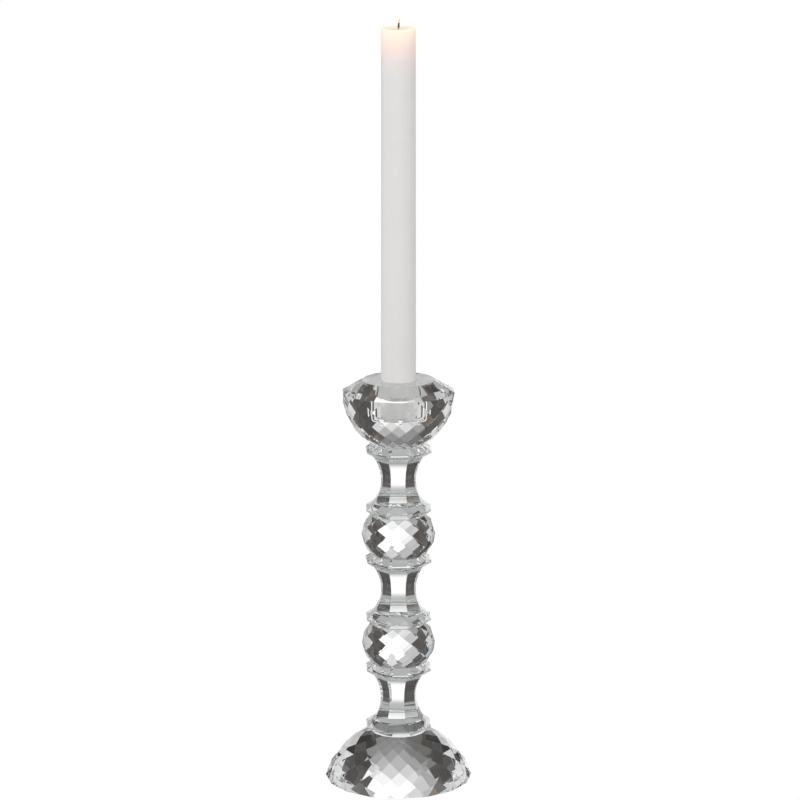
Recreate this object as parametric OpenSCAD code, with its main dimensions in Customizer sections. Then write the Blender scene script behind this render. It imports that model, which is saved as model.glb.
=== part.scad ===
// Cut-glass candlestick: a faceted foot, three waisted columns, two faceted balls and a faceted
// cup, with an eight-sided collar between each pair, stacked on one axis and bonded face to face.
// A dinner candle stands in the cup's blind socket. Z is the axis, and the foot rests on Z = 0.

/* [Foot] */
// Corner radius of the foot's rim
foot_r = 49; // [46:0.2:50]
// Height of the foot
foot_h = 31.9; // [24:0.1:36]
// Radius of the spheroid that the foot's facets follow
foot_dome_r = 51.2; // [51:0.2:56]
// Facets around the foot
foot_facets = 16; // [16:2:20]
// Rows of facets between the rim and the top flat
foot_rows = 7; // [5:1:7]

/* [Collars] */
// Corner radius at a collar's widest line
collar_r = 23; // [20:0.5:28]
// Height of each of a collar's two bevels
collar_bevel_h = 3.7; // [3:0.1:8]
// Height of the narrow band between the bevels
collar_band_h = 0.6; // [0.2:0.1:2]

/* [Columns] */
// Height of a column
column_h = 31.4; // [20:0.1:40]
// Corner radius of a column's ends, which is also that of a collar's flat faces
column_end_r = 17.3; // [17:0.1:19]
// Corner radius of a column's waist
column_waist_r = 12.4; // [9:0.1:15]

/* [Balls] */
// Corner radius of a ball's widest row
ball_r = 24.4; // [24:0.2:28]
// Height of a ball between its flats
ball_h = 27; // [18:0.1:32]
// Facets around a ball
ball_facets = 12; // [12:2:20]
// Rows of facets between a ball's widest row and each flat
ball_rows = 3; // [1:1:3]

/* [Cup] */
// Corner radius of the cup's widest line
cup_r = 37; // [36:0.2:44]
// Height of the bowl below the widest line
cup_bowl_h = 34.8; // [31:0.1:40]
// Facets around the cup
cup_facets = 18; // [18:2:22]
// Rows of facets between the widest line and the cup's foot
cup_rows = 8; // [5:1:8]
// Height of the narrow band at the cup's widest line
cup_band_h = 0.6; // [0.3:0.1:2]
// Height of the sloping facets above the band
cup_crown_h = 7.6; // [4:0.1:10]
// Corner radius of the flat table on top
cup_table_r = 23.8; // [20:0.2:30]

/* [Socket] */
// Radius of the blind hole that holds the candle
socket_r = 11.75; // [11.75:0.05:13]
// Depth of that hole
socket_depth = 22; // [16:0.5:25]
// Radius of the rounding around its floor
socket_round_r = 2; // [1:0.25:3]

/* [Candle] */
// Length of the wax from its foot to its rim
candle_len = 252; // [100:1:300]
// Radius of the wax just above its foot
candle_foot_r = 11.45; // [10:0.05:11.45]
// Radius of the wax at its rim
candle_rim_r = 11; // [9:0.1:11.4]
// Depth of the hollow that the flame has melted
melt_depth = 1.4; // [0.5:0.1:3]
// Radius of the wick
wick_r = 0.7; // [0.5:0.1:1.2]
// Length of wick that stands clear of the melted hollow
wick_bare_len = 4.5; // [3:0.5:10]

/* [Bonds] */
// Radius of each film of clear adhesive
bond_r = 15.2; // [12:0.2:15.4]
// Thickness of each film
bond_t = 0.1; // [0.05:0.05:0.3]

/* [Hidden] */

round_fn = 96;
eps = 0.01;
sides = 8;
arc_steps = 10;

// Turn of each glass piece about the axis, in degrees, from the foot up: hand assembly lines up
// no two neighbours exactly
turns = [12, 3, -5, 2, -11, 2, 0, 5, -12, 1, -1, 3, -8];

function cosh(u) = (exp(u) + exp(-u)) / 2;
function tanh(u) = (exp(u) - exp(-u)) / (exp(u) + exp(-u));
function acosh(v) = ln(v + sqrt(v * v - 1));

// Rows of corners on a spheroid, each turned half a facet from the last, lie on flat four-sided
// facets when row j has radius a / cosh(u) and height b * tanh(u), with u in equal steps.
function row_step(n) = acosh(1 / cos(180 / n));
function row_on(a, b, u, half) = [a / cosh(u), b * tanh(u), half];

collar_h = 2 * collar_bevel_h + collar_band_h;
cup_h = cup_bowl_h + cup_band_h + cup_crown_h;

// The foot's rim stands at u = foot_u0 on its spheroid, and its top flat at u = foot_u1
foot_u0 = acosh(foot_dome_r / foot_r);
foot_u1 = foot_u0 + foot_rows * row_step(foot_facets);
foot_dome_h = foot_h / (tanh(foot_u1) - tanh(foot_u0));

// Heights of the glass pieces from the foot up, and the height at which each one starts
piece_h = [
    foot_h, collar_h, column_h, collar_h, ball_h, collar_h, column_h, collar_h, ball_h, collar_h,
    column_h, collar_h, cup_h
];
function start_z(i) = i == 0 ? 0 : start_z(i - 1) + piece_h[i - 1] + bond_t;

table_z = start_z(12) + cup_h;
socket_floor_z = table_z - socket_depth;

// Solid whose corners are given as rows from the bottom up: [radius, height, half turns].
// Corner i of a row stands at i + half facets, measured from a facet that faces -Y.
module cut_solid(n, rows) {
    corners = [
        for (row = rows)
            for (i = [0 : n - 1])
                let (a = -90 + (i + row[2] + 0.5) * 360 / n)
                    [row[0] * cos(a), row[0] * sin(a), row[1]]
    ];
    last = len(rows) - 1;
    bands = [
        for (j = [0 : last - 1])
            for (i = [0 : n - 1])
                let (a = j * n + i)
                let (a2 = j * n + (i + 1) % n)
                let (b = a + n)
                let (b2 = a2 + n)
                each rows[j][2] == rows[j + 1][2] ? [[b, b2, a2, a]]
                    : rows[j][2] < rows[j + 1][2] ? [[b, a2, a], [b, b2, a2]]
                    : [[b2, a2, a], [b, b2, a]]
    ];
    bottom = [[for (i = [0 : n - 1]) i]];
    top = [[for (i = [n - 1 : -1 : 0]) last * n + i]];
    polyhedron(points = corners, faces = concat(bottom, bands, top));
}

// The domed foot: facets from the rim up to a flat that carries the first collar
module foot_dome() {
    step = row_step(foot_facets);
    rows = [
        for (j = [0 : foot_rows])
            let (row = row_on(foot_dome_r, foot_dome_h, foot_u0 + j * step, 0.5 * (j % 2)))
                [row[0], row[1] - foot_dome_h * tanh(foot_u0), row[2]]
    ];
    color("azure", 0.6)
        rotate([0, 0, turns[0]])
            cut_solid(foot_facets, rows);
}

// An eight-sided disc with a bevel above and below its widest line
module collar(i) {
    rows = [
        [column_end_r, 0, 0],
        [collar_r, collar_bevel_h, 0],
        [collar_r, collar_bevel_h + collar_band_h, 0],
        [column_end_r, collar_h, 0]
    ];
    color("honeydew", 0.6)
        translate([0, 0, start_z(i)])
            rotate([0, 0, turns[i]])
                cut_solid(sides, rows);
}

// An eight-sided column whose sides are hollow arcs from end to end
module column(i) {
    hollow = column_end_r - column_waist_r;
    arc_r = (pow(column_h / 2, 2) + pow(hollow, 2)) / (2 * hollow);
    arc_half = asin(column_h / 2 / arc_r);
    rows = [
        for (k = [-arc_steps : arc_steps])
            let (a = arc_half * k / arc_steps)
                [column_waist_r + arc_r * (1 - cos(a)), column_h / 2 + arc_r * sin(a), 0]
    ];
    color("white", 0.6)
        translate([0, 0, start_z(i)])
            rotate([0, 0, turns[i]])
                cut_solid(sides, rows);
}

// A flattened faceted ball with a flat above and below
module ball(i) {
    step = row_step(ball_facets);
    uncut_half_h = ball_h / 2 / tanh(ball_rows * step);
    rows = [
        for (j = [-ball_rows : ball_rows])
            row_on(ball_r, uncut_half_h, j * step, 0.5 * (abs(j) % 2))
    ];
    color("lightgray", 0.6)
        translate([0, 0, start_z(i) + ball_h / 2])
            rotate([0, 0, turns[i]])
                cut_solid(ball_facets, rows);
}

// The blind hole in the cup, with a rounding around its floor
module socket_cutter() {
    round_steps = 6;
    round_arc = [
        for (k = [0 : round_steps])
            let (a = -90 + 90 * k / round_steps)
                [
                    socket_r - socket_round_r + socket_round_r * cos(a),
                    socket_round_r + socket_round_r * sin(a)
                ]
    ];
    rotate_extrude($fn = round_fn)
        polygon(concat([[0, 0]], round_arc, [[socket_r, socket_depth + 1], [0, socket_depth + 1]]));
}

// The cup: a faceted bowl, a narrow band, sloping crown facets, a flat table and the socket
module candle_cup() {
    step = row_step(cup_facets);
    uncut_h = cup_bowl_h / tanh(cup_rows * step);
    bowl = [
        for (j = [-cup_rows : 0])
            let (row = row_on(cup_r, uncut_h, j * step, 0.5 * (abs(j) % 2)))
                [row[0], row[1] + cup_bowl_h, row[2]]
    ];
    crown = [
        [cup_r, cup_bowl_h + cup_band_h, 0],
        [cup_table_r, cup_h, 0]
    ];
    color("azure", 0.6)
        difference() {
            translate([0, 0, start_z(12)])
                rotate([0, 0, turns[12]])
                    cut_solid(cup_facets, concat(bowl, crown));
            translate([0, 0, socket_floor_z])
                socket_cutter();
        }
}

// Film k of adhesive, between glass pieces k - 1 and k
module bond(k) {
    color("ivory", 0.3)
        translate([0, 0, start_z(k) - bond_t])
            cylinder(h = bond_t, r = bond_r, $fn = round_fn);
}

// The wax: a foot that narrows into the socket, a slight taper and a hollow melted around the wick
module candle_wax() {
    foot_taper_r = 2.4;
    foot_taper_h = 4;
    rim_round = 0.6;
    melt_edge_r = candle_rim_r - 1.2;
    melt_steps = 8;
    melt = [
        for (k = [0 : melt_steps])
            let (t = 1 - k / melt_steps)
                [melt_edge_r * t, candle_len - melt_depth * cos(90 * t)]
    ];
    outline = concat(
        [
            [0, 0],
            [candle_foot_r - foot_taper_r, 0],
            [candle_foot_r, foot_taper_h],
            [candle_rim_r, candle_len - rim_round],
            [candle_rim_r - rim_round / 2, candle_len]
        ],
        melt
    );
    color("floralwhite")
        translate([0, 0, socket_floor_z])
            difference() {
                rotate_extrude($fn = round_fn)
                    polygon(outline);
                translate([0, 0, -eps])
                    cylinder(h = candle_len, r = wick_r, $fn = round_fn);
            }
}

// The wick, which runs the candle's whole length and stands clear of the wax
module candle_wick() {
    color("dimgray")
        translate([0, 0, socket_floor_z])
            cylinder(h = candle_len - melt_depth + wick_bare_len, r = wick_r, $fn = round_fn);
}

foot_dome();
collar(1);  // collar_1_lowest
column(2);  // column_1_lower
collar(3);  // collar_2
ball(4);  // ball_1_lower
collar(5);  // collar_3
column(6);  // column_2_middle
collar(7);  // collar_4
ball(8);  // ball_2_upper
collar(9);  // collar_5
column(10);  // column_3_upper
collar(11);  // collar_6_highest
candle_cup();
bond(1);  // bond_01_foot_to_collar
bond(2);  // bond_02_collar_to_column
bond(3);  // bond_03_column_to_collar
bond(4);  // bond_04_collar_to_ball
bond(5);  // bond_05_ball_to_collar
bond(6);  // bond_06_collar_to_column
bond(7);  // bond_07_column_to_collar
bond(8);  // bond_08_collar_to_ball
bond(9);  // bond_09_ball_to_collar
bond(10);  // bond_10_collar_to_column
bond(11);  // bond_11_column_to_collar
bond(12);  // bond_12_collar_to_cup
candle_wax();
candle_wick();
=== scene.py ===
import math

import bmesh
import bpy
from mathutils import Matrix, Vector


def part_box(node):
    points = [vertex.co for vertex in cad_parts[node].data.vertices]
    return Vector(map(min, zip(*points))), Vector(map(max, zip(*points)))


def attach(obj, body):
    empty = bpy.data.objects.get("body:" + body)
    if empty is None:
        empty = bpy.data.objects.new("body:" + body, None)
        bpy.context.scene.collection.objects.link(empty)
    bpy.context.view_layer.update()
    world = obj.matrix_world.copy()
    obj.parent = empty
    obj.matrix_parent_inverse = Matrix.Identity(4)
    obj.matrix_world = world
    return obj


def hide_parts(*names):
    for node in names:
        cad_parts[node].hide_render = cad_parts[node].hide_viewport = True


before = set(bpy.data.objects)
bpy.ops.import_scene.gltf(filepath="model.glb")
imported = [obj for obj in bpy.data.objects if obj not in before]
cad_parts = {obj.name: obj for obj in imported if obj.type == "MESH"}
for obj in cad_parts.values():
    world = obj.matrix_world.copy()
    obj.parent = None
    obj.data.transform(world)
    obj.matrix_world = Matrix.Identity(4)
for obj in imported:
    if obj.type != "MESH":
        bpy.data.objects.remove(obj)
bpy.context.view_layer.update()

MM = 0.001

# ---------------------------------------------------------------- pieces, by name
COLLARS = ["collar_1_lowest", "collar_2", "collar_3", "collar_4", "collar_5", "collar_6_highest"]
COLUMNS = ["column_1_lower", "column_2_middle", "column_3_upper"]
BALLS = ["ball_1_lower", "ball_2_upper"]
FOOT = "foot_dome"
CUP = "candle_cup"
FILMS = [name for name in sorted(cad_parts) if name.startswith("bond_")]

# ---------------------------------------------------------------- sizes
WELD = 0.002 * MM  # corners closer than this are one corner
FACET_ANGLE = math.radians(0.4)  # faces flatter to each other than this are one facet
SHARP_ANGLE = math.radians(4)  # an edge that turns by more than this is a cut edge
EDGE_BEVEL = 0.10 * MM  # polished bevel along every cut edge
WINDOW_SIDES = 72  # sides of the round area that adhesive wets
COLUMN_SIDES = 8
COLUMN_ROWS = 120
BORE_SIDES = 144
BORE_GAP = 0.3 * MM  # the socket's wall stands this far off the wax
BORE_ROUND_R = 2.0 * MM  # rounding round the socket's floor
BORE_ROUND_STEPS = 12
BORE_LIP = 0.2 * MM  # polished bevel round the socket's mouth
WAX_SIDES = 128
WAX_ROWS = 60
SEAT_GAP = 0.05 * MM  # the wax's foot stands this far off the socket's floor
PAINTED_GLOW_REACH = 34 * MM  # the painted glow that stands in for the flame's light reaches this far below the wax's rim
PAINTED_SEAT_GLOW_FADE = 4 * MM  # height over which the painted glow on the seated wax fades out
CHAR_FADE = 0.6 * MM  # half the height over which the wick goes from cotton to char

GLASS_IOR = 1.52
WHITE = (1.0, 1.0, 1.0, 1.0)

# ---------------------------------------------------------------- camera, lamps and floor
CAMERA_PLACE = (0.001, -2.0, 0.722)
CAMERA_PITCH = 13.05  # degrees below level
CAMERA_LENS = 141.0
LAMP_AIM = (0, 0, 0.3)
FLOOR_R = 1.2
FLOOR_Z = -0.1 * MM
FLOOR_SIDES = 96


# ---------------------------------------------------------------- materials
class Nodes:
    """A material's node tree, with short calls that add a node and set or link its inputs."""

    def __init__(self, name):
        self.material = bpy.data.materials.new(name)
        self.material.use_nodes = True
        self.tree = self.material.node_tree
        self.tree.nodes.clear()
        self.output = self.tree.nodes.new("ShaderNodeOutputMaterial")

    def add(self, kind, inputs=None, **settings):
        node = self.tree.nodes.new("ShaderNode" + kind)
        for key, value in settings.items():
            setattr(node, key, value)
        for key, value in (inputs or {}).items():
            self.feed(node.inputs[key], value)
        return node

    def feed(self, socket, value):
        if isinstance(value, bpy.types.NodeSocket):
            self.tree.links.new(value, socket)
        else:
            socket.default_value = value

    def spread(self, value, low, high):
        """A value from 0 to 1, mapped to the range from low to high."""
        inputs = {"Value": value, "To Min": low, "To Max": high}
        return self.add("MapRange", inputs).outputs["Result"]

    def blend(self, share, first, second):
        """The first colour, going to the second as share goes from 0 to 1."""
        mix = self.add("Mix", data_type="RGBA")
        self.feed(mix.inputs[0], share)
        self.feed(mix.inputs[6], first)
        self.feed(mix.inputs[7], second)
        return mix.outputs[2]

    def done(self, shader):
        self.tree.links.new(shader, self.output.inputs["Surface"])
        return self.material


def glass_material(name, tint, rough_low, rough_high, wave):
    """Polished lead-free crystal: a slight tint that drifts, faint smears and a faint wave."""
    m = Nodes(name)
    place = m.add("TexCoord").outputs["Object"]
    drift = m.add("TexNoise", {"Vector": place, "Scale": 18.0, "Detail": 2.0}).outputs["Fac"]
    smears = m.add(
        "TexNoise", {"Vector": place, "Scale": 140.0, "Detail": 4.0, "Distortion": 0.6}
    ).outputs["Fac"]
    height = m.add("TexNoise", {"Vector": place, "Scale": 60.0, "Detail": 1.0}).outputs["Fac"]
    bump = m.add("Bump", {"Strength": wave, "Distance": 0.0002, "Height": height})
    shader = m.add(
        "BsdfPrincipled",
        {
            "Base Color": m.blend(drift, tint, WHITE),
            "Roughness": m.spread(smears, rough_low, rough_high),
            "IOR": GLASS_IOR,
            "Transmission Weight": 1.0,
            "Normal": bump.outputs["Normal"],
        },
    )
    return m.done(shader.outputs["BSDF"])


def wetted_material():
    """The area of a glass flat that adhesive wets: light goes straight on, as in one block."""
    m = Nodes("glass_wetted_by_adhesive")
    place = m.add("TexCoord").outputs["Object"]
    cloud = m.add("TexNoise", {"Vector": place, "Scale": 90.0, "Detail": 2.0}).outputs["Fac"]
    tint = m.blend(cloud, (0.985, 0.99, 0.988, 1.0), WHITE)
    return m.done(m.add("BsdfTransparent", {"Color": tint}).outputs["BSDF"])


def film_material():
    """Cured clear adhesive."""
    m = Nodes("clear_adhesive_film")
    place = m.add("TexCoord").outputs["Object"]
    cloud = m.add("TexNoise", {"Vector": place, "Scale": 120.0, "Detail": 3.0}).outputs["Fac"]
    tint = m.blend(cloud, (0.98, 0.985, 0.985, 1.0), WHITE)
    return m.done(m.add("BsdfTransparent", {"Color": tint}).outputs["BSDF"])


def wax_material(rim_height, table_height):
    """White candle wax, with a painted glow near its rim that stands in for the flame's light, and
    a faint painted glow on the part seated inside the glass.
    """
    m = Nodes("candle_wax_white")
    place = m.add("TexCoord").outputs["Object"]
    height = m.add("SeparateXYZ", {"Vector": place}).outputs["Z"]
    # Painted light: an emission colour, cream at the rim and fading to nothing lower down, stands
    # in for the flame's light in the wax
    below = m.add("Math", {0: rim_height, 1: height}, operation="SUBTRACT").outputs[0]
    painted_glow_share = m.add("MapRange", {"Value": below, "From Min": 0.0, "From Max": PAINTED_GLOW_REACH})
    ramp = m.add("ValToRGB", {"Fac": painted_glow_share.outputs["Result"]})
    stops = ramp.color_ramp
    stops.elements[0].color = (0.50, 0.40, 0.25, 1.0)
    stops.elements[1].color = (0.0, 0.0, 0.0, 1.0)
    for at, colour in (
        (0.06, (0.34, 0.20, 0.05, 1.0)),
        (0.38, (0.235, 0.065, 0.012, 1.0)),
        (0.61, (0.07, 0.016, 0.004, 1.0)),
    ):
        stops.elements.new(at).color = colour
    # Painted light: the wax seated in the socket gets a faint even emission, in place of the lamp
    # light that does not reach it through the glass
    painted_seat_share = m.add(
        "MapRange",
        {"Value": height, "From Min": table_height - PAINTED_SEAT_GLOW_FADE, "From Max": table_height,
         "To Min": 1.0, "To Max": 0.0},
    ).outputs["Result"]
    # The whole emission colour is painted light: the rim glow above and the seated glow below
    painted_glow_colour = m.blend(painted_seat_share, ramp.outputs["Color"], (0.09, 0.09, 0.085, 1.0))
    mottle = m.add("TexNoise", {"Vector": place, "Scale": 45.0, "Detail": 3.0}).outputs["Fac"]
    grain = m.add("TexNoise", {"Vector": place, "Scale": 900.0, "Detail": 2.0}).outputs["Fac"]
    bump = m.add("Bump", {"Strength": 0.08, "Distance": 0.0002, "Height": grain})
    shader = m.add(
        "BsdfPrincipled",
        {
            "Base Color": m.blend(mottle, (0.86, 0.85, 0.835, 1.0), (0.90, 0.892, 0.88, 1.0)),
            "Roughness": m.spread(mottle, 0.42, 0.55),
            "Subsurface Weight": 0.35,
            "Subsurface Radius": (1.0, 0.85, 0.7),
            "Subsurface Scale": 0.004,
            "Sheen Weight": 0.2,
            "Sheen Roughness": 0.5,
            "Emission Color": painted_glow_colour,
            "Emission Strength": 1.0,
            "Normal": bump.outputs["Normal"],
        },
    )
    return m.done(shader.outputs["BSDF"])


def wick_material(char_height):
    """Braided cotton, burnt black where it is bare."""
    m = Nodes("wick_charred_cotton")
    place = m.add("TexCoord").outputs["Object"]
    height = m.add("SeparateXYZ", {"Vector": place}).outputs["Z"]
    burnt = m.add(
        "MapRange",
        {"Value": height, "From Min": char_height - CHAR_FADE,
         "From Max": char_height + CHAR_FADE},
    ).outputs["Result"]
    fibre = m.add("TexNoise", {"Vector": place, "Scale": 2500.0, "Detail": 4.0}).outputs["Fac"]
    cotton = m.blend(fibre, (0.55, 0.50, 0.42, 1.0), (0.78, 0.74, 0.66, 1.0))
    char = m.blend(fibre, (0.02, 0.009, 0.005, 1.0), (0.14, 0.055, 0.028, 1.0))
    bump = m.add("Bump", {"Strength": 0.6, "Distance": 0.00015, "Height": fibre})
    shader = m.add(
        "BsdfPrincipled",
        {
            "Base Color": m.blend(burnt, cotton, char),
            "Roughness": 0.9,
            "Normal": bump.outputs["Normal"],
        },
    )
    return m.done(shader.outputs["BSDF"])


def flame_material(base_height, tip_height):
    """A small flame: orange at the wick, pale yellow at the tip."""
    m = Nodes("flame_light")
    place = m.add("TexCoord").outputs["Object"]
    height = m.add("SeparateXYZ", {"Vector": place}).outputs["Z"]
    along = m.add(
        "MapRange", {"Value": height, "From Min": base_height, "From Max": tip_height}
    ).outputs["Result"]
    colour = m.blend(along, (1.0, 0.42, 0.10, 1.0), (1.0, 0.86, 0.55, 1.0))
    light = m.add("Emission", {"Color": colour, "Strength": 1.3})
    clear = m.add("BsdfTransparent")
    facing = m.add("LayerWeight", {"Blend": 0.3}).outputs["Facing"]
    thin = m.spread(facing, 0.25, 0.9)
    mix = m.add("MixShader", {0: thin})
    m.feed(mix.inputs[1], light.outputs[0])
    m.feed(mix.inputs[2], clear.outputs[0])
    return m.done(mix.outputs[0])


# ---------------------------------------------------------------- mesh helpers
def new_piece(name, bm, body, materials, replaced):
    """Turns the bmesh into a piece that rides on a body and stands for the CAD nodes."""
    bmesh.ops.recalc_face_normals(bm, faces=bm.faces)
    mesh = bpy.data.meshes.new(name)
    bm.to_mesh(mesh)
    bm.free()
    stored = mesh.attributes.get("custom_normal")
    if stored:
        mesh.attributes.remove(stored)
    for material in materials:
        mesh.materials.append(material)
    piece = bpy.data.objects.new(name, mesh)
    bpy.context.scene.collection.objects.link(piece)
    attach(piece, body)
    if replaced:
        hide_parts(*replaced)
    return piece


def facets_of(node):
    """The node's solid, with its coplanar triangles joined into whole facets."""
    bm = bmesh.new()
    bm.from_mesh(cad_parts[node].data)
    bmesh.ops.remove_doubles(bm, verts=bm.verts, dist=WELD)
    bmesh.ops.dissolve_limit(bm, angle_limit=FACET_ANGLE, verts=bm.verts, edges=bm.edges)
    for face in bm.faces:
        face.smooth = False
        face.material_index = 0
    return bm


def ring_at(bm, radius, height, sides):
    """A ring of new corners round the axis."""
    turn = 2 * math.pi / sides
    return [
        bm.verts.new((radius * math.cos(k * turn), radius * math.sin(k * turn), height))
        for k in range(sides)
    ]


def join_rings(bm, lower, upper, smooth=True):
    """Quads between two rings that have the same number of corners."""
    count = len(lower)
    for k in range(count):
        after = (k + 1) % count
        face = bm.faces.new((lower[k], lower[after], upper[after], upper[k]))
        face.smooth = smooth


def loop_edges(bm, ring):
    """The edges of a closed ring of corners."""
    edges = []
    for k in range(len(ring)):
        pair = (ring[k], ring[(k + 1) % len(ring)])
        edges.append(bm.edges.get(pair) or bm.edges.new(pair))
    return edges


def flat_between(bm, corners, ring, up):
    """A flat's faces between its outline's corners and a round ring inside it."""
    def turn(vert):
        return math.atan2(vert.co.y, vert.co.x)

    def nearest(vert):
        return min(corners, key=lambda c: abs(math.remainder(turn(c) - turn(vert), 2 * math.pi)))

    for k, here in enumerate(ring):
        after = ring[(k + 1) % len(ring)]
        first, second = nearest(here), nearest(after)
        loop = [first, after, here] if first is second else [first, second, after, here]
        bm.faces.new(loop if up else loop[::-1]).smooth = False


def wetted_radius(node, height):
    """Radius of the film that touches this node at this height, or None."""
    for film in FILMS:
        low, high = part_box(film)
        if abs(low.z - height) < WELD or abs(high.z - height) < WELD:
            return high.y
    return None


def cut_window(bm, height, radius, up):
    """Makes the round wetted area of a flat a face of its own, with the second material."""
    flat = max(
        (f for f in bm.faces if all(abs(v.co.z - height) < WELD for v in f.verts)),
        key=lambda f: f.calc_area(),
    )
    corners = list(flat.verts)
    bm.faces.remove(flat)
    ring = ring_at(bm, radius, height, WINDOW_SIDES)
    window = bm.faces.new(ring if up else ring[::-1])
    window.material_index = 1
    flat_between(bm, corners, ring, up)


def cut_windows(bm, node):
    """The wetted areas on the node's lowest and highest flats."""
    low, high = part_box(node)
    for height, up in ((low.z, False), (high.z, True)):
        radius = wetted_radius(node, height)
        if radius:
            cut_window(bm, height, radius, up)


def bevel_facets(bm):
    """The narrow polished bevel that lapping leaves along every cut edge."""
    bm.normal_update()
    cut = [
        e for e in bm.edges
        if len(e.link_faces) == 2 and e.calc_face_angle(0) > SHARP_ANGLE
        and not any(f.smooth for f in e.link_faces)
    ]
    bmesh.ops.bevel(
        bm, geom=cut, offset=EDGE_BEVEL, offset_type="OFFSET", segments=1, profile=0.5,
        affect="EDGES", clamp_overlap=True,
    )


# ---------------------------------------------------------------- glass pieces
def faceted_piece(node, materials):
    """The foot, a collar or a ball: flat facets and wetted flats."""
    bm = facets_of(node)
    cut_windows(bm, node)
    bevel_facets(bm)
    return new_piece(node + "_glass", bm, "candlestick", materials, [node])


def column_piece(node, materials):
    """A column with truly smooth hollow sides between sharp edges."""
    low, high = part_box(node)
    corners = [v.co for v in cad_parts[node].data.vertices]
    middle = (low.z + high.z) / 2
    half = (high.z - low.z) / 2
    end_r = max(math.hypot(c.x, c.y) for c in corners)
    waist_r = max(math.hypot(c.x, c.y) for c in corners if abs(c.z - middle) < WELD)
    corner = next(c for c in corners if abs(math.hypot(c.x, c.y) - end_r) < WELD)
    first = math.atan2(corner.y, corner.x)
    hollow = end_r - waist_r
    arc_r = (half * half + hollow * hollow) / (2 * hollow)
    arc = math.asin(half / arc_r)
    step = 2 * math.pi / COLUMN_SIDES
    trim = math.sin(math.pi / COLUMN_SIDES)

    bm = bmesh.new()
    rows = []
    for row in range(COLUMN_ROWS + 1):
        angle = arc * (2 * row / COLUMN_ROWS - 1)
        radius = waist_r + arc_r * (1 - math.cos(angle))
        height = middle + arc_r * math.sin(angle)
        side = 2 * radius * trim
        cut = EDGE_BEVEL / side
        ring = []
        for k in range(COLUMN_SIDES):
            here = first + k * step
            start = Vector((radius * math.cos(here), radius * math.sin(here), height))
            end = Vector((radius * math.cos(here + step), radius * math.sin(here + step), height))
            ring.append(bm.verts.new(start.lerp(end, cut)))
            ring.append(bm.verts.new(start.lerp(end, 1 - cut)))
        rows.append(ring)
    for lower, upper in zip(rows, rows[1:]):
        join_rings(bm, lower, upper)
        for k in range(len(lower)):
            bm.edges.get((lower[k], upper[k])).smooth = False
    for ring in (rows[0][::-1], rows[-1]):
        for edge in loop_edges(bm, ring):
            edge.smooth = False
        bm.faces.new(ring)
    cut_windows(bm, node)
    return new_piece(node + "_glass", bm, "candlestick", materials, [node])


def cup_piece(materials):
    """The cup: the CAD's facets, with a truly round bored socket in the table."""
    bm = facets_of(CUP)
    low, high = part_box(CUP)
    top = high.z

    def reach(face):
        return max(math.hypot(v.co.x, v.co.y) for v in face.verts)

    bore_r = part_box("candle_wax")[1].x + BORE_GAP
    inner = [f for f in bm.faces if reach(f) < 1.001 * bore_r]
    bore_r = max(reach(f) for f in inner)
    floor_z = min(v.co.z for f in inner for v in f.verts)
    table = [f for f in bm.faces if all(abs(v.co.z - top) < WELD for v in f.verts)]
    bmesh.ops.delete(bm, geom=inner + table, context="FACES")
    corners = list({v for e in bm.edges if e.is_boundary for v in e.verts})
    cut_windows(bm, CUP)

    profile = [(bore_r + BORE_LIP, top), (bore_r, top - BORE_LIP)]
    for k in range(BORE_ROUND_STEPS + 1):
        turn = math.pi / 2 * k / BORE_ROUND_STEPS
        profile.append((
            bore_r - BORE_ROUND_R * (1 - math.cos(turn)),
            floor_z + BORE_ROUND_R * (1 - math.sin(turn)),
        ))
    rings = [ring_at(bm, radius, height, BORE_SIDES) for radius, height in profile]
    flat_between(bm, corners, rings[0], True)
    for upper, lower in zip(rings, rings[1:]):
        join_rings(bm, upper, lower)
    for ring in rings[:2]:
        for edge in loop_edges(bm, ring):
            edge.smooth = False
    bm.faces.new(rings[-1]).smooth = False
    for face in bm.faces:
        if face.smooth:
            face.material_index = 2
    bevel_facets(bm)
    return new_piece(CUP + "_glass", bm, "candlestick", materials, [CUP])


# ---------------------------------------------------------------- candle
def lathe(profile, sides, wobble=None):
    """A closed solid of revolution from (radius, height) points, from the foot to the top."""
    bm = bmesh.new()
    rings = [ring_at(bm, radius, height, sides) for radius, height in profile]
    for lower, upper in zip(rings, rings[1:]):
        join_rings(bm, lower, upper)
    bm.faces.new(rings[0])
    bm.faces.new(rings[-1])
    if wobble:
        for vert in bm.verts:
            vert.co = wobble(vert.co)
    return bm


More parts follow.
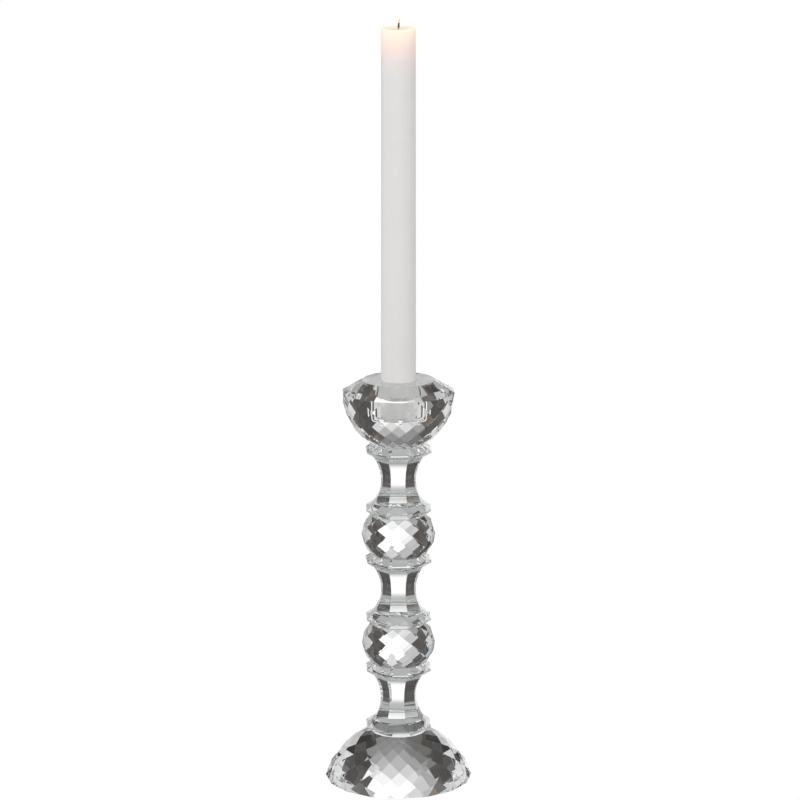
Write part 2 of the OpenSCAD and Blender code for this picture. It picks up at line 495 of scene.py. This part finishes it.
def wax_piece():
    """The candle's wax: a slim taper with a softened rim and a melted hollow."""
    low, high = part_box("candle_wax")
    foot_r = high.x
    rim_z = high.z
    rim_r = max(
        math.hypot(v.co.x, v.co.y)
        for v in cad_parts["candle_wax"].data.vertices if v.co.z > rim_z - 3 * MM
    )
    start = low.z + SEAT_GAP
    profile = [(foot_r - 2.6 * MM, start), (foot_r - 2.3 * MM, start + 0.15 * MM),
               (foot_r - 0.3 * MM, start + 3.7 * MM), (foot_r, start + 4.6 * MM)]
    for k in range(1, WAX_ROWS + 1):
        share = k / WAX_ROWS
        height = start + 4.6 * MM + (rim_z - 5.8 * MM - start) * share
        profile.append((foot_r + (rim_r - foot_r) * share, height))
    for k in range(1, 9):
        turn = math.pi * k / 8
        profile.append((rim_r - 1.1 * MM * (1 - math.cos(turn)) / 2 - 0.1 * MM * k / 8,
                        rim_z - 1.2 * MM + 1.2 * MM * math.sin(turn / 2)))
    for k in range(1, 13):
        share = k / 12
        radius = (rim_r - 1.2 * MM) * (1 - share) + 0.9 * MM * share
        profile.append((radius, rim_z - 1.3 * MM * math.sin(share * math.pi / 2)))

    def wobble(co):
        near_rim = max(0.0, 1 - (rim_z - co.z) / (4 * MM))
        turn = math.atan2(co.y, co.x)
        drop = 0.22 * math.sin(turn + 0.6) + 0.14 * math.sin(2 * turn + 2.1) - 0.3
        spread = 1 + 0.004 * math.sin(3 * turn + 1.0) * near_rim
        return Vector((co.x * spread, co.y * spread, co.z + drop * MM * near_rim))

    bm = lathe(profile, WAX_SIDES, wobble)
    return new_piece(
        "candle_wax_body", bm, "candle", [wax_material(rim_z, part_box(CUP)[1].z)],
        ["candle_wax"]
    )


def wick_piece():
    """The wick: three strands laid round each other, bare and burnt above the wax."""
    low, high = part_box("candle_wick")
    rim_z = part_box("candle_wax")[1].z
    wick_r = high.x
    sides = 24
    rows = 90
    lay = 3.2 * MM
    bare_from = rim_z - 2.2 * MM
    bm = bmesh.new()
    rings = []
    for row in range(rows + 1):
        share = row / rows
        height = low.z + SEAT_GAP + 0.3 * MM
        if row:
            height = bare_from + (high.z - bare_from) * (row - 1) / (rows - 1)
        bare = max(0.0, height - bare_from) / (high.z - bare_from)
        lean = Vector((0.35 * MM * bare * bare, -0.15 * MM * bare * bare, 0))
        taper = wick_r * (1 - 0.35 * bare ** 3)
        ring = []
        for k in range(sides):
            turn = 2 * math.pi * k / sides
            strand = 0.78 + 0.22 * abs(math.cos(1.5 * (turn - 2 * math.pi * height / lay / 3)))
            radius = taper * strand * 0.98
            ring.append(bm.verts.new(
                (radius * math.cos(turn) + lean.x, radius * math.sin(turn) + lean.y, height)
            ))
        rings.append(ring)
    for lower, upper in zip(rings, rings[1:]):
        join_rings(bm, lower, upper)
    bm.faces.new(rings[0])
    bm.faces.new(rings[-1])
    return new_piece(
        "candle_wick_strands", bm, "candle", [wick_material(rim_z - 0.4 * MM)],
        ["candle_wick"],
    )


def flame_piece():
    """A small flame standing on the wick. It is light, so it stands for no CAD node."""
    tip_of_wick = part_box("candle_wick")[1].z
    base = tip_of_wick - 0.8 * MM
    length = 5.2 * MM
    widest = 0.72 * MM
    rows = 28
    profile = []
    for k in range(1, rows):
        share = k / rows
        radius = widest * math.sin(math.pi * share ** 0.75) ** 0.9 * (1 - 0.35 * share)
        profile.append((max(radius, 0.02 * MM), base + length * share))
    bm = lathe(profile, 32)
    for vert in bm.verts:
        rise = (vert.co.z - base) / length
        vert.co.x += 0.35 * MM + 0.25 * MM * rise
    return new_piece(
        "flame", bm, "candle", [flame_material(base, base + length)], []
    )


# ---------------------------------------------------------------- studio
# Light level of each part of the studio by elevation in degrees: the white panel behind the
# object, the dark cards beside it, and the white walls beyond them.
PANEL = [(-90, 0.45), (-38, 0.47), (-30, 0.62), (-23, 1.0), (-16, 1.15), (4, 1.15), (10, 0.95),
         (16, 0.62), (22, 0.42), (28, 0.27), (40, 0.19), (55, 0.25), (90, 0.35)]
CARD = [(-90, 0.45), (-37, 0.40), (-32, (0.075, 0.070, 0.066)), (0, (0.046, 0.042, 0.038)),
        (44, (0.046, 0.042, 0.038)), (50, 0.25), (90, 0.35)]
WALL = [(-90, 0.45), (-30, 0.50), (0, 0.70), (15, 0.80), (30, 0.78), (50, 0.45), (90, 0.35)]
# Share of the panel at each azimuth from the view's axis, in red, green and blue: it is bright from
# its middle to its right edge, a dimmer strip stands on its left, and its edges glow warm.
PANEL_SHARE = [
    (-90, (0.0, 0.0, 0.0)), (-24.0, (0.0, 0.0, 0.0)), (-23.7, (0.12, 0.05, 0.02)),
    (-23.3, (0.18, 0.15, 0.10)), (-22.5, (0.18, 0.18, 0.18)), (-20.5, (0.44, 0.44, 0.44)),
    (-12, (0.52, 0.52, 0.52)), (-6, (0.97, 0.97, 0.97)), (19.6, (1.0, 1.0, 1.0)),
    (19.8, (1.0, 0.82, 0.50)), (20.0, (0.55, 0.30, 0.14)), (20.2, (0.0, 0.0, 0.0)),
    (90, (0.0, 0.0, 0.0)),
]
# Share of the walls beyond the cards, whose edges glow cool
WALL_SHARE = [
    (-90, (1.0, 1.0, 1.0)), (-45.5, (1.0, 1.0, 1.0)), (-45.2, (0.40, 0.65, 1.0)),
    (-44.9, (0.05, 0.15, 0.50)), (-44.7, (0.0, 0.0, 0.0)), (44.7, (0.0, 0.0, 0.0)),
    (44.9, (0.05, 0.15, 0.50)), (45.2, (0.40, 0.65, 1.0)), (45.5, (1.0, 1.0, 1.0)),
    (90, (1.0, 1.0, 1.0)),
]


def studio_world():
    """A white panel behind and in front, dark cards on both sides of each, and white walls."""
    world = bpy.data.worlds.new("studio")
    bpy.context.scene.world = world
    world.use_nodes = True
    tree = world.node_tree
    tree.nodes.clear()

    def add(kind, inputs=None, **settings):
        node = tree.nodes.new("ShaderNode" + kind)
        for key, value in settings.items():
            setattr(node, key, value)
        for key, value in (inputs or {}).items():
            if isinstance(value, bpy.types.NodeSocket):
                tree.links.new(value, node.inputs[key])
            else:
                node.inputs[key].default_value = value
        return node

    def math_node(operation, first, second=0.0):
        return add("Math", {0: first, 1: second}, operation=operation).outputs[0]

    def ramp(value, stops):
        """The level at this value, straight between the stops."""
        curve = add("ValToRGB", {"Fac": value})
        elements = curve.color_ramp.elements
        while len(elements) < len(stops):
            elements.new(0.5)
        for element, (place, level) in zip(elements, stops):
            element.position = place
            shades = level if isinstance(level, tuple) else (level, level, level)
            element.color = (*shades, 1.0)
        return curve.outputs["Color"]

    def by_angle(along, stops):
        placed = [(0.5 + 0.5 * math.sin(math.radians(angle)), level) for angle, level in stops]
        return ramp(along, placed)

    split = add("SeparateXYZ", {"Vector": add("TexCoord").outputs["Generated"]})
    rise = math_node("MULTIPLY_ADD", split.outputs["Z"], 0.5)
    rise.node.inputs[2].default_value = 0.5
    flat = add("CombineXYZ", {"X": split.outputs["X"], "Y": split.outputs["Y"]})
    unit = add("VectorMath", {0: flat.outputs["Vector"]}, operation="NORMALIZE").outputs[0]
    aside = math_node("MULTIPLY_ADD", add("SeparateXYZ", {"Vector": unit}).outputs["X"], 0.5)
    aside.node.inputs[2].default_value = 0.5

    def mixed(share, first, second):
        """The first light, going to the second as each colour's share goes from 0 to 1."""
        step = add("VectorMath", {0: second, 1: first}, operation="SUBTRACT").outputs[0]
        inputs = {0: step, 1: share, 2: first}
        return add("VectorMath", inputs, operation="MULTIPLY_ADD").outputs[0]

    inner = mixed(by_angle(aside, PANEL_SHARE), by_angle(rise, CARD), by_angle(rise, PANEL))
    outer = mixed(by_angle(aside, WALL_SHARE), inner, by_angle(rise, WALL))
    around = add("Background", {"Color": outer})
    backdrop = add("Background", {"Color": WHITE, "Strength": 1.0})
    mix = add("MixShader", {0: add("LightPath").outputs["Is Camera Ray"]})
    tree.links.new(around.outputs[0], mix.inputs[1])
    tree.links.new(backdrop.outputs[0], mix.inputs[2])
    output = tree.nodes.new("ShaderNodeOutputWorld")
    tree.links.new(mix.outputs[0], output.inputs["Surface"])


def soft_light(name, place, size, power):
    """A square soft box that lights the wax and stays out of the glass."""
    data = bpy.data.lights.new(name, "AREA")
    data.shape = "SQUARE"
    data.size = size
    data.energy = power
    lamp = bpy.data.objects.new(name, data)
    bpy.context.scene.collection.objects.link(lamp)
    lamp.visible_glossy = False
    lamp.visible_transmission = False
    lamp.location = place
    lamp.rotation_euler = (Vector(LAMP_AIM) - Vector(place)).to_track_quat("-Z", "Y").to_euler()


def floor_material():
    """A white light table: white to the camera, and clear to the light inside the glass."""
    m = Nodes("floor_white")
    seen = m.add("LightPath").outputs["Is Camera Ray"]
    light = m.add("Emission", {"Color": WHITE, "Strength": 1.0})
    clear = m.add("BsdfTransparent")
    mix = m.add("MixShader", {0: seen})
    m.feed(mix.inputs[1], clear.outputs[0])
    m.feed(mix.inputs[2], light.outputs[0])
    return m.done(mix.outputs[0])


def studio_floor():
    """A round white floor just under the foot."""
    bm = bmesh.new()
    bm.faces.new(ring_at(bm, FLOOR_R, FLOOR_Z, FLOOR_SIDES))
    mesh = bpy.data.meshes.new("floor")
    bm.to_mesh(mesh)
    bm.free()
    mesh.materials.append(floor_material())
    floor = bpy.data.objects.new("floor", mesh)
    bpy.context.scene.collection.objects.link(floor)


def studio_camera():
    """The camera stands 2 m in front, a little above the candle's tip, and looks down."""
    data = bpy.data.cameras.new("camera")
    data.sensor_width = 36.0
    data.lens = CAMERA_LENS
    data.clip_start = 0.1
    data.clip_end = 20.0
    camera = bpy.data.objects.new("camera", data)
    bpy.context.scene.collection.objects.link(camera)
    camera.location = CAMERA_PLACE
    camera.rotation_euler = (math.radians(90 - CAMERA_PITCH), 0, 0)
    bpy.context.scene.camera = camera


def light_path_settings():
    """Enough bounces for light to cross the whole stack of glass pieces."""
    scene = bpy.context.scene
    scene.view_settings.view_transform = "Standard"
    scene.cycles.max_bounces = 32
    scene.cycles.transmission_bounces = 32
    scene.cycles.glossy_bounces = 24
    scene.cycles.transparent_max_bounces = 48
    scene.cycles.diffuse_bounces = 4
    scene.cycles.caustics_reflective = True
    scene.cycles.caustics_refractive = True
    scene.cycles.blur_glossy = 0.0
    scene.cycles.sample_clamp_indirect = 4.0


# ---------------------------------------------------------------- assembly
def build():
    """Every piece of the object, each with its material."""
    glass = glass_material("crystal_cut", (0.978, 0.990, 0.984, 1.0), 0.0, 0.006, 0.03)
    bore = glass_material("crystal_bored", (0.965, 0.978, 0.972, 1.0), 0.0, 0.02, 0.05)
    thin_glass = glass_material("crystal_collar", (0.955, 0.980, 0.965, 1.0), 0.0, 0.01, 0.05)
    wetted = wetted_material()
    for node in [FOOT, *BALLS]:
        faceted_piece(node, [glass, wetted])
    for node in COLLARS:
        faceted_piece(node, [thin_glass, wetted])
    for node in COLUMNS:
        column_piece(node, [glass, wetted])
    cup_piece([glass, wetted, bore])
    film = film_material()
    for node in FILMS:
        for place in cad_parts[node].material_slots:
            place.material = film
    wax_piece()
    wick_piece()
    flame_piece()


build()
studio_world()
studio_floor()
soft_light("soft_front_left", (-0.9, -1.3, 1.1), 0.8, 12.0)
soft_light("soft_front_right", (1.1, -1.0, 0.9), 0.7, 5.0)
studio_camera()
light_path_settings()
